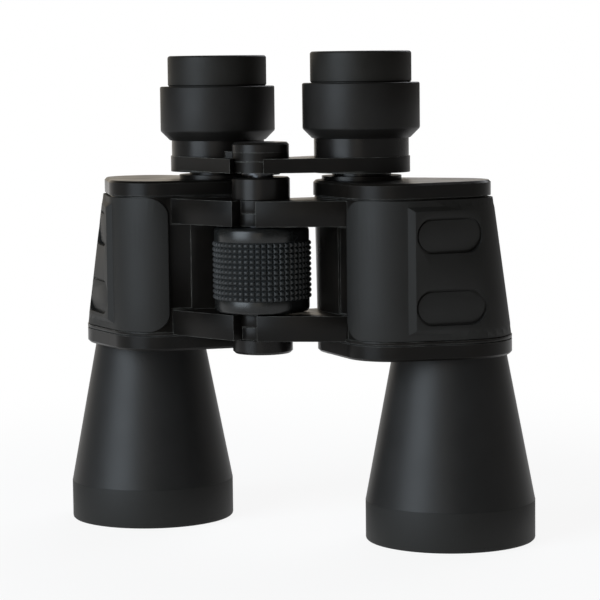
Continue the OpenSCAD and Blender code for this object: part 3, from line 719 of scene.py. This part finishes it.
@dataclass
class PrismHousing:
    """Cast housing with its two plates, gaskets, grip cover and prisms."""

    side: Side
    cast_edge: float = 0.25
    plate_edge: float = 0.5
    cover_edge: float = 0.15
    cover_corner: float = 24.0

    def build(self) -> None:
        """Dresses what the housing holds and rounds the edges of its shells."""
        self.dress()
        node, body = self.side.node, self.side.half
        eased_copy(node("housing"), body, ENAMEL, self.cast_edge)
        for plate in ("top_plate", "bottom_plate"):
            eased_copy(node(plate), body, ENAMEL, self.plate_edge, segments=3, flat=True)
        cover = node("grip_cover")
        eased_copy(cover, body, ARMOUR, self.cover_edge, segments=3, corner=self.cover_corner)

    def dress(self) -> None:
        """Gives the housing's nodes their finishes."""
        finishes = {
            "housing": ENAMEL,
            "top_plate": ENAMEL,
            "bottom_plate": ENAMEL,
            "grip_cover": ARMOUR,
            "seals": GASKET,
            "plate_screws": BLACK_STEEL,
            "upper_prism": PRISM_GLASS,
            "lower_prism": PRISM_GLASS,
            "prism_shelf": ANODISED,
            "prism_clips": BLACK_STEEL,
            "guide_tube": TURNED_ENAMEL,
            "strap_lug": ENAMEL,
        }
        dress_nodes({self.side.node(piece): finish for piece, finish in finishes.items()})


@dataclass
class ObjectiveTube:
    """Tapered barrel, its rubber band, and the doublet with the ring that holds it.

    Heights are above the rim of the band. The barrel's wall steps inwards to seat the doublet,
    and its upper end is a spigot that goes up into the housing.
    """

    side: Side
    band_r: float = 29.5
    band_bore: float = 28.0
    band_h: float = 13.9
    band_rim_ease: float = 0.8
    band_bore_ease: float = 0.15
    band_top_ease: float = 0.08
    band_proud: float = 0.05
    foot_z: float = 0.6
    mouth_r: float = 26.0
    seat_r: float = 25.0
    seat_z: float = 17.0
    seat_top: float = 20.0
    length: float = 65.0
    top_r: float = 19.7
    spigot_r: float = 18.0
    spigot_h: float = 5.2
    spigot_bore: float = 16.2
    spigot_depth: float = 4.0

    def build(self) -> None:
        """Dresses the nodes and turns the barrel and its band."""
        self.dress()
        axis = axis_of(self.side.node("hood_band"))
        self.turn_barrel(axis)
        self.turn_band(axis)

    def dress(self) -> None:
        """Gives the tube's nodes their finishes."""
        finishes = {
            "objective_barrel": SOFT_TOUCH,
            "hood_band": ARMOUR,
            "crown_lens": OBJECTIVE_GLASS,
            "flint_lens": OBJECTIVE_GLASS,
            "retaining_ring": ENAMEL,
        }
        dress_nodes({self.side.node(piece): finish for piece, finish in finishes.items()})

    def turn_barrel(self, axis: Axis) -> None:
        """Turns the barrel.

        Args:
            axis: Where its axis stands, in metres.
        """
        barrel = turned(
            self.side.node("barrel_shell"),
            [
                (self.mouth_r, self.foot_z, 0),
                (self.band_bore, self.foot_z, 0),
                (self.band_bore, self.band_h, 0),
                (self.band_r - self.band_proud, self.band_h, 0),
                (self.top_r, self.length, 0),
                (self.spigot_r, self.length, 0),
                (self.spigot_r, self.length + self.spigot_h, 0),
                (self.spigot_bore, self.length + self.spigot_h, 0),
                (self.spigot_bore, self.length - self.spigot_depth, 0),
                (self.seat_r, self.seat_top, 0),
                (self.seat_r, self.seat_z, 0),
                (self.mouth_r, self.seat_z, 0),
            ],
            axis,
            self.side.half,
            SOFT_TOUCH,
        )
        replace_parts(barrel, self.side.node("objective_barrel"))

    def turn_band(self, axis: Axis) -> None:
        """Turns the band that the binocular stands on.

        Args:
            axis: Where its axis stands, in metres.
        """
        band = turned(
            self.side.node("band_sleeve"),
            [
                (self.band_bore, 0, self.band_bore_ease),
                (self.band_r, 0, self.band_rim_ease),
                (self.band_r, self.band_h, self.band_top_ease),
                (self.band_bore, self.band_h, 0),
            ],
            axis,
            self.side.half,
            ARMOUR,
        )
        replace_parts(band, self.side.node("hood_band"))


@dataclass
class Eyepiece:
    """Bridge arm, sliding sleeve, lens barrel, grip ring and eyecup of one eyepiece.

    Heights are those of an eyepiece that its dioptre ring hasn't lifted. The grip ring flares up
    from its foot and has a floor inside, and the eyecup slides down into the ring's upper bore.
    The eyecup's shoulder runs from shoulder_gap to shoulder_rise above the ring.
    """

    side: Side
    lift: float = 0.0
    arm_edge: float = 0.3
    ring_z: float = 138.4
    ring_top: float = 157.5
    ring_r: float = 20.4
    foot_r: float = 17.1
    foot_bore: float = 16.55
    foot_ease: float = 0.15
    flare_h: float = 3.3
    flare_ease: float = 0.4
    rim_ease: float = 0.6
    ring_bore: float = 17.77
    ring_bore_ease: float = 0.2
    floor_z: float = 144.3
    floor_top: float = 146.1
    floor_bore: float = 15.65
    cup_top: float = 168.3
    cup_r: float = 17.57
    cup_bore: float = 15.87
    cup_ease: float = 0.9
    skirt_z: float = 153.7
    skirt_r: float = 17.27
    shoulder_gap: float = 0.2
    shoulder_rise: float = 0.5
    mouth_r: float = 13.67
    mouth_ease: float = 0.6
    lip_h: float = 1.4
    lip_depth: float = 2.0

    @property
    def ring_node(self) -> str:
        """Name of the ring's node: the right one is the dioptre ring."""
        return "dioptre_ring" if self.side is Side.RIGHT else "left_grip_ring"

    @property
    def ring_body(self) -> str:
        """Name of the body that the ring moves with: the right one turns on its own."""
        return "dioptre_setting_ring" if self.side is Side.RIGHT else "left_eyepiece"

    def build(self) -> None:
        """Dresses the nodes, turns the ring and the cup, and rounds the arm's edges."""
        self.dress()
        axis = axis_of(self.side.node("eyecup"))
        self.turn_ring(axis)
        self.turn_cup(axis)
        arm, body = self.side.node("bridge_arm"), self.side.node("eyepiece")
        eased_copy(arm, body, ENAMEL, self.arm_edge, flat=True)

    def dress(self) -> None:
        """Gives the eyepiece's nodes their finishes."""
        finishes = {
            "bridge_arm": ENAMEL,
            "ocular_sleeve": TURNED_ENAMEL,
            "lens_barrel": TURNED_ENAMEL,
            "field_lens": EYEPIECE_GLASS,
            "eye_lens": EYEPIECE_GLASS,
            "eyecup": CUP_RUBBER,
        }
        dress_nodes({self.side.node(piece): finish for piece, finish in finishes.items()})
        dress_nodes({self.ring_node: RING_PAINT})

    def turn_ring(self, axis: Axis) -> None:
        """Turns the grip ring.

        Args:
            axis: Where its axis stands, in metres.
        """
        ring = turned(
            self.side.node("ring_sleeve"),
            [
                (self.foot_bore, self.ring_z, 0),
                (self.foot_r, self.ring_z, self.foot_ease),
                (self.ring_r, self.ring_z + self.flare_h, self.flare_ease),
                (self.ring_r, self.ring_top, self.rim_ease),
                (self.ring_bore, self.ring_top, self.ring_bore_ease),
                (self.ring_bore, self.floor_top, 0),
                (self.floor_bore, self.floor_top, 0),
                (self.floor_bore, self.floor_z, 0),
                (self.foot_bore, self.floor_z, 0),
            ],
            axis,
            self.ring_body,
            RING_PAINT,
            self.lift,
        )
        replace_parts(ring, self.ring_node)

    def turn_cup(self, axis: Axis) -> None:
        """Turns the eyecup: a skirt, a shoulder just above the ring, and a lip round its mouth.

        Args:
            axis: Where its axis stands, in metres.
        """
        cup = turned(
            self.side.node("cup_sleeve"),
            [
                (self.cup_bore, self.skirt_z, 0),
                (self.skirt_r, self.skirt_z, 0),
                (self.skirt_r, self.ring_top + self.shoulder_gap, 0),
                (self.cup_r, self.ring_top + self.shoulder_rise, 0),
                (self.cup_r, self.cup_top, self.cup_ease),
                (self.mouth_r, self.cup_top, self.mouth_ease),
                (self.mouth_r, self.cup_top - self.lip_h, 0),
                (self.cup_bore, self.cup_top - self.lip_depth, 0),
            ],
            axis,
            self.side.node("eyecup_sleeve"),
            CUP_RUBBER,
            self.lift,
        )
        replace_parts(cup, self.side.node("eyecup"))


@dataclass
class HingeColumn:
    """Hollow hinge axle with its collar and caps, and the focus post and key that run in it."""

    axle: Finish = ANODISED
    caps: Finish = TURNED_ENAMEL
    focus_train: Finish = GROUND_STEEL

    def build(self) -> None:
        """Dresses the column's nodes, whose turned shapes are fine enough as they are."""
        dress_nodes(
            {
                "hinge_tube": self.axle,
                "hinge_collar": self.caps,
                "end_cap": self.caps,
                "focus_post": self.focus_train,
                "drive_key": self.focus_train,
                "bridge_cap": self.caps,
            }
        )


@dataclass
class FocusWheel:
    """Wheel between the hinge arms: a hub with two smooth bands, and a knurled rubber sleeve.

    The sleeve's outside is a square mesh of facets, each drawn out into a tooth with a blunt tip.
    """

    band_drop: float = 0.7
    band_round: float = 1.5
    step_ease: float = 0.15
    bore_r: float = 6.65
    relief_r: float = 9.2
    relief_margin: float = 3.0
    sleeve_bore_r: float = 15.1
    columns: int = 50
    rows: int = 11
    tooth_foot: float = 0.42
    tooth_height: float = 0.55
    tip_ease: float = 0.28
    tip_height: float = 0.17

    def build(self) -> None:
        """Dresses the nodes, and makes the hub and the sleeve in their places."""
        dress_nodes({"wheel_hub": BAND_PLASTIC, "wheel_grip": KNURL_RUBBER})
        hub_low, hub_high = (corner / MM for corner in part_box("wheel_hub"))
        grip_low, grip_high = (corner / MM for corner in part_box("wheel_grip"))
        hub, sleeve = (hub_low.z, hub_high.z), (grip_low.z, grip_high.z)
        tip_r = (grip_high.y - grip_low.y) / 2
        axis = axis_of("wheel_hub")
        self.turn_hub(tip_r - self.band_drop, hub, sleeve, axis)
        self.draw_sleeve(tip_r, sleeve, axis)

    def turn_hub(self, band_r: float, hub: Span, sleeve: Span, axis: Axis) -> None:
        """Turns the hub, with a seat for the sleeve and a relief between its two bores.

        Args:
            band_r: Radius of the bands, in millimetres.
            hub: Heights of the hub's two ends, in millimetres.
            sleeve: Heights of the sleeve's two ends, in millimetres.
            axis: Where the axis stands, in metres.
        """
        (foot, top), (sleeve_foot, sleeve_top) = hub, sleeve
        bands = turned(
            "wheel_bands",
            [
                (self.bore_r, foot, 0),
                (band_r, foot, self.band_round),
                (band_r, sleeve_foot, self.step_ease),
                (self.sleeve_bore_r, sleeve_foot, 0),
                (self.sleeve_bore_r, sleeve_top, 0),
                (band_r, sleeve_top, self.step_ease),
                (band_r, top, self.band_round),
                (self.bore_r, top, 0),
                (self.bore_r, top - self.relief_margin, 0),
                (self.relief_r, top - self.relief_margin, 0),
                (self.relief_r, foot + self.relief_margin, 0),
                (self.bore_r, foot + self.relief_margin, 0),
            ],
            axis,
            "focus_wheel",
            BAND_PLASTIC,
        )
        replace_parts(bands, "wheel_hub")

    def draw_sleeve(self, tip_r: float, sleeve: Span, axis: Axis) -> None:
        """Spins the sleeve and draws its teeth out of it.

        Args:
            tip_r: Radius over the tips, in millimetres.
            sleeve: Heights of the sleeve's two ends, in millimetres.
            axis: Where the axis stands, in metres.
        """
        low, high = sleeve
        foot_r = tip_r - self.tooth_height - self.tip_height
        heights = [low + (high - low) * row / self.rows for row in range(self.rows + 1)]
        outline = [(foot_r, z) for z in heights]
        outline += [(self.sleeve_bore_r, high), (self.sleeve_bore_r, low)]
        mesh = bmesh.new()
        ring = [mesh.verts.new((r * MM, 0, z * MM)) for r, z in outline]
        for here, after in zip(ring, ring[1:] + ring[:1]):
            mesh.edges.new((here, after))
        spin_round(mesh, self.columns)
        bmesh.ops.recalc_face_normals(mesh, faces=mesh.faces)
        mid_wall = (self.sleeve_bore_r + foot_r) / 2 * MM
        # The facets outside the middle of the wall, apart from the two level ends.
        teeth = [
            face
            for face in mesh.faces
            if abs(face.normal.z) < 0.5 and face.calc_center_median().xy.length > mid_wall
        ]
        steps = ((self.tooth_foot, self.tooth_height), (self.tip_ease, self.tip_height))
        for inset, rise in steps:
            bmesh.ops.inset_individual(
                mesh, faces=teeth, thickness=inset * MM, depth=rise * MM, use_even_offset=True
            )
        bmesh.ops.translate(mesh, verts=mesh.verts, vec=(*axis, 0))
        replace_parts(settle("wheel_knurl", mesh, "focus_wheel", KNURL_RUBBER), "wheel_grip")


# --- studio -------------------------------------------------------------------------------------


@dataclass(frozen=True)
class Lamp:
    """A soft lamp that faces the binocular and that the camera doesn't see.

    Turn is in degrees from the front, seen from above and negative to the left, and tilt in
    degrees above the level. Distance and size, which is width and height, are in metres.
    """

    name: str
    turn: float
    tilt: float
    distance: float
    size: tuple[float, float]
    watts: float
    tint: str

    def hang(self, aim: Vector) -> None:
        """Hangs the lamp.

        Args:
            aim: Point that it faces, in metres.
        """
        turn, tilt = math.radians(self.turn), math.radians(self.tilt)
        level = math.cos(tilt)
        way = Vector((math.sin(turn) * level, -math.cos(turn) * level, math.sin(tilt)))
        data = bpy.data.lights.new(self.name, "AREA")
        data.shape = "RECTANGLE"
        data.size, data.size_y = self.size
        data.energy = self.watts
        data.color = linear(self.tint)[:3]
        lamp = bpy.data.objects.new(self.name, data)
        bpy.context.scene.collection.objects.link(lamp)
        lamp.visible_camera = False
        lamp.location = aim + way * self.distance
        lamp.rotation_euler = way.to_track_quat("Z", "Y").to_euler()


# A large cool softbox at the front left, a weak warm card at the front right, and a card high
# behind that keeps the far side readable.
SOFTBOX = Lamp("softbox", -25, 17, 1.0, (0.7, 0.9), 13.5, "#e9f5ff")
BOUNCE_CARD = Lamp("bounce_card", 14, 8, 1.3, (0.45, 0.6), 1.1, "#fff4e4")
BACK_CARD = Lamp("back_card", 184, 42, 1.2, (0.9, 0.9), 8.0, "#f6f8ff")


@dataclass
class Studio:
    """Camera, lamps, backdrop, and the white sweep that the binocular stands on.

    Lengths are in metres and angles in degrees, except the camera's lens and sensor, which are in
    millimetres. The backdrop fades in between two cosines of the angle from its middle.
    """

    azimuth: float = 25.33
    distance: float = 0.822
    height: float = 0.16304
    aside: float = 0.01301
    pitch: float = 5.52
    roll: float = -0.65
    lens: float = 143.097
    sensor: float = 36.0
    sight: float = 20.0
    middle_y: float = -0.01935
    aim_height: float = 0.085
    lamps: tuple[Lamp, ...] = (SOFTBOX, BOUNCE_CARD, BACK_CARD)
    floor_radius: float = 4.0
    floor_tint: str = "#f4f4f4"
    floor_shadow: float = 0.12
    floor_fade: Span = (0.12, 0.4)
    fill: float = 0.1
    fill_tint: str = "#fff3e0"
    backdrop_turn: float = 20.0
    backdrop_fade: Span = (0.8, 0.97)
    backdrop_glow: float = 1.0

    def build(self) -> None:
        """Sets up the whole studio."""
        self.camera()
        self.floor()
        self.world()
        for lamp in self.lamps:
            lamp.hang(Vector((0, self.middle_y, self.aim_height)))
        bpy.context.scene.view_settings.view_transform = "Standard"

    def camera(self) -> None:
        """Places the camera."""
        turn, pitch, roll = (math.radians(v) for v in (self.azimuth, self.pitch, self.roll))
        right = Vector((math.cos(turn), math.sin(turn), 0))
        back = Vector((math.sin(turn), -math.cos(turn), 0))
        middle = Vector((0, self.middle_y, self.height))
        place = back * self.distance + right * self.aside + middle
        forward = -back * math.cos(pitch) - Vector((0, 0, math.sin(pitch)))
        up = right.cross(forward)
        x = right * math.cos(roll) + up * math.sin(roll)
        y = -right * math.sin(roll) + up * math.cos(roll)
        data = bpy.data.cameras.new("studio_camera")
        data.sensor_width = self.sensor
        data.lens = self.lens
        data.clip_end = self.sight
        camera = bpy.data.objects.new("studio_camera", data)
        bpy.context.scene.collection.objects.link(camera)
        rows = Matrix((x, y, -forward)).transposed().to_4x4()
        camera.matrix_world = Matrix.Translation(place) @ rows
        bpy.context.scene.camera = camera

    def floor(self) -> None:
        """Lays a white floor that keeps a soft shadow and fades to the backdrop's white."""
        mesh = bmesh.new()
        bmesh.ops.create_circle(mesh, cap_ends=True, segments=96, radius=self.floor_radius)
        data = bpy.data.meshes.new("studio_floor")
        mesh.to_mesh(data)
        mesh.free()
        floor = bpy.data.objects.new("studio_floor", data)
        bpy.context.scene.collection.objects.link(floor)
        material = bare_material("white_sweep")
        tree = material.node_tree
        place = add_node(tree, "ShaderNodeTexCoord").outputs["Object"]
        reach = add_node(tree, "ShaderNodeVectorMath", {0: place}, operation="LENGTH")
        fade = add_node(
            tree,
            "ShaderNodeMapRange",
            {
                "Value": reach.outputs["Value"],
                "From Min": self.floor_fade[0],
                "From Max": self.floor_fade[1],
                "To Min": 1 - self.floor_shadow,
            },
            interpolation_type="SMOOTHSTEP",
        ).outputs["Result"]
        rays = add_node(tree, "ShaderNodeLightPath").outputs
        seen = rays["Is Camera Ray"]
        for ray in ("Is Glossy Ray", "Is Transmission Ray"):
            either = add_node(
                tree, "ShaderNodeMath", {0: seen, 1: rays[ray]}, operation="MAXIMUM"
            )
            seen = either.outputs[0]
        share = add_node(tree, "ShaderNodeMath", {0: fade, 1: seen}, operation="MULTIPLY")
        paper = add_node(tree, "ShaderNodeBsdfDiffuse", {"Color": linear(self.floor_tint)})
        glow = add_node(tree, "ShaderNodeEmission", {"Color": linear("#ffffff"), "Strength": 1.0})
        mixed = add_node(
            tree,
            "ShaderNodeMixShader",
            {0: share.outputs[0], 1: paper.outputs[0], 2: glow.outputs[0]},
        )
        add_node(tree, "ShaderNodeOutputMaterial", {"Surface": mixed.outputs[0]})
        data.materials.append(material)

    def world(self) -> None:
        """Sets a white backdrop behind the binocular in a room that is dark elsewhere."""
        world = bpy.data.worlds.new("studio_world")
        bpy.context.scene.world = world
        world.use_nodes = True
        tree = world.node_tree
        tree.nodes.clear()
        turn = math.radians(self.azimuth + self.backdrop_turn)
        way = add_node(tree, "ShaderNodeTexCoord").outputs["Generated"]
        behind = add_node(
            tree,
            "ShaderNodeVectorMath",
            {0: way, 1: (-math.sin(turn), math.cos(turn), 0)},
            operation="DOT_PRODUCT",
        ).outputs["Value"]
        backdrop = add_node(
            tree,
            "ShaderNodeMapRange",
            {
                "Value": behind,
                "From Min": self.backdrop_fade[0],
                "From Max": self.backdrop_fade[1],
                "To Min": self.fill,
                "To Max": self.backdrop_glow,
            },
            interpolation_type="SMOOTHSTEP",
        ).outputs["Result"]
        rays = add_node(tree, "ShaderNodeLightPath").outputs
        white = add_node(
            tree,
            "ShaderNodeMath",
            {0: rays["Is Camera Ray"], 1: rays["Is Transmission Ray"]},
            operation="MAXIMUM",
        ).outputs[0]
        strength = add_node(
            tree, "ShaderNodeMath", {0: backdrop, 1: rays["Is Glossy Ray"]}, operation="MULTIPLY"
        ).outputs[0]
        for least in (white, self.fill):
            larger = add_node(
                tree, "ShaderNodeMath", {0: strength, 1: least}, operation="MAXIMUM"
            )
            strength = larger.outputs[0]
        tint = add_node(
            tree,
            "ShaderNodeMix",
            {0: white, 6: linear(self.fill_tint), 7: linear("#ffffff")},
            data_type="RGBA",
        ).outputs[2]
        light = add_node(tree, "ShaderNodeBackground", {"Color": tint, "Strength": strength})
        add_node(tree, "ShaderNodeOutputWorld", {"Surface": light.outputs[0]})


def main() -> None:
    """Builds the studio, and then the sub-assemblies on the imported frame."""
    logging.basicConfig(level=logging.INFO, format="%(message)s")
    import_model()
    Studio().build()
    for side in Side:
        PrismHousing(side).build()
        ObjectiveTube(side).build()
        Eyepiece(side, lift=DIOPTRE_LIFT if side is Side.RIGHT else 0.0).build()
    HingeColumn().build()
    FocusWheel().build()


if __name__ == "__main__":
    main()
